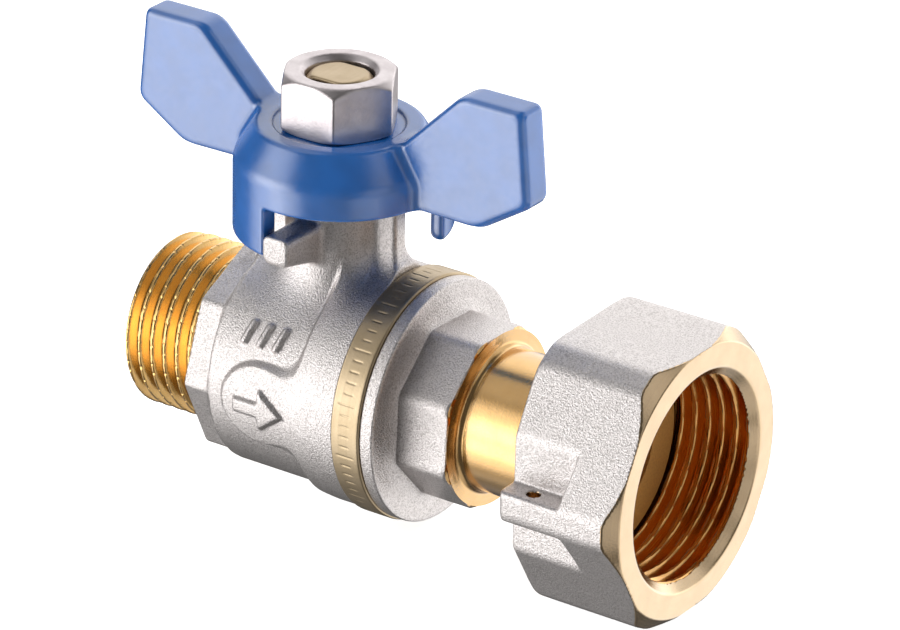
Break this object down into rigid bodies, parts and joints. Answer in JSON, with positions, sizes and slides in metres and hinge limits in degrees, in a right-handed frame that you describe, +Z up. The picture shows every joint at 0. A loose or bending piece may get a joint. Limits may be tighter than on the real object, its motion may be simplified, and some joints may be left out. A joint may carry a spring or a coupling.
{
  "type": "water shutoff valve",
  "caption": "Ball valve for a water meter with a male inlet thread, a butterfly handle that turns a quarter and a swivel nut on the outlet tail.",
  "frame": {"origin": "centre of the inlet thread's end face, on the pipe axis", "axes": "+X along the pipe from inlet to outlet, +Z up the stem, -Y the front with the flow arrow"},
  "size_m": [0.0769, 0.0352, 0.0552],
  "materials": {
    "plated_body": "nickel plated over a sandblasted forging, bare brass where machined",
    "plated_cap": "nickel plated flange and octagon, bare turned brass tail",
    "plated_nut": "nickel plated sides, bare machined brass face and thread",
    "bare_brass": "turned",
    "chromed_ball": "polished",
    "blue_coating": "gloss coating over a die casting",
    "zinc_plate": "zinc plated",
    "spring_steel": "plain",
    "ptfe": "matt",
    "seal_rubber": "matt",
    "gasket_fibre": "matt"
  },
  "bodies": {
    "body": {"valve_body": "plated_body", "end_cap": "plated_cap", "cap_seal_ring": "seal_rubber", "seat_inlet": "ptfe", "seat_outlet": "ptfe", "union_gasket": "gasket_fibre"},
    "handle": {"handle": "blue_coating", "handle_nut": "zinc_plate", "stem": "bare_brass", "stem_thrust_washer": "ptfe", "stem_oring_lower": "seal_rubber", "stem_oring_upper": "seal_rubber"},
    "ball": {"ball": "chromed_ball"},
    "ring": {"retaining_ring": "spring_steel"},
    "nut": {"union_nut": "plated_nut"}
  },
  "joints": [
    {"name": "handle_turn", "type": "hinge", "parent": "body", "child": "handle", "pos_m": [0.0234, 0, 0], "axis": [0, 0, 1], "range_deg": [-90, 0]},
    {"name": "ball_turn", "type": "hinge", "parent": "body", "child": "ball", "pos_m": [0.0234, 0, 0], "axis": [0, 0, 1], "range_deg": [-90, 0]},
    {"name": "union_swivel", "type": "hinge", "parent": "body", "child": "ring", "pos_m": [0.0605, 0, 0], "axis": [1, 0, 0], "continuous": true},
    {"name": "union_slide", "type": "slide", "parent": "ring", "child": "nut", "axis": [1, 0, 0], "range_m": [-0.01, 0]}
  ],
  "couplings": [
    {"joint": "ball_turn", "follows": "handle_turn", "ratio": 1}
  ]
}
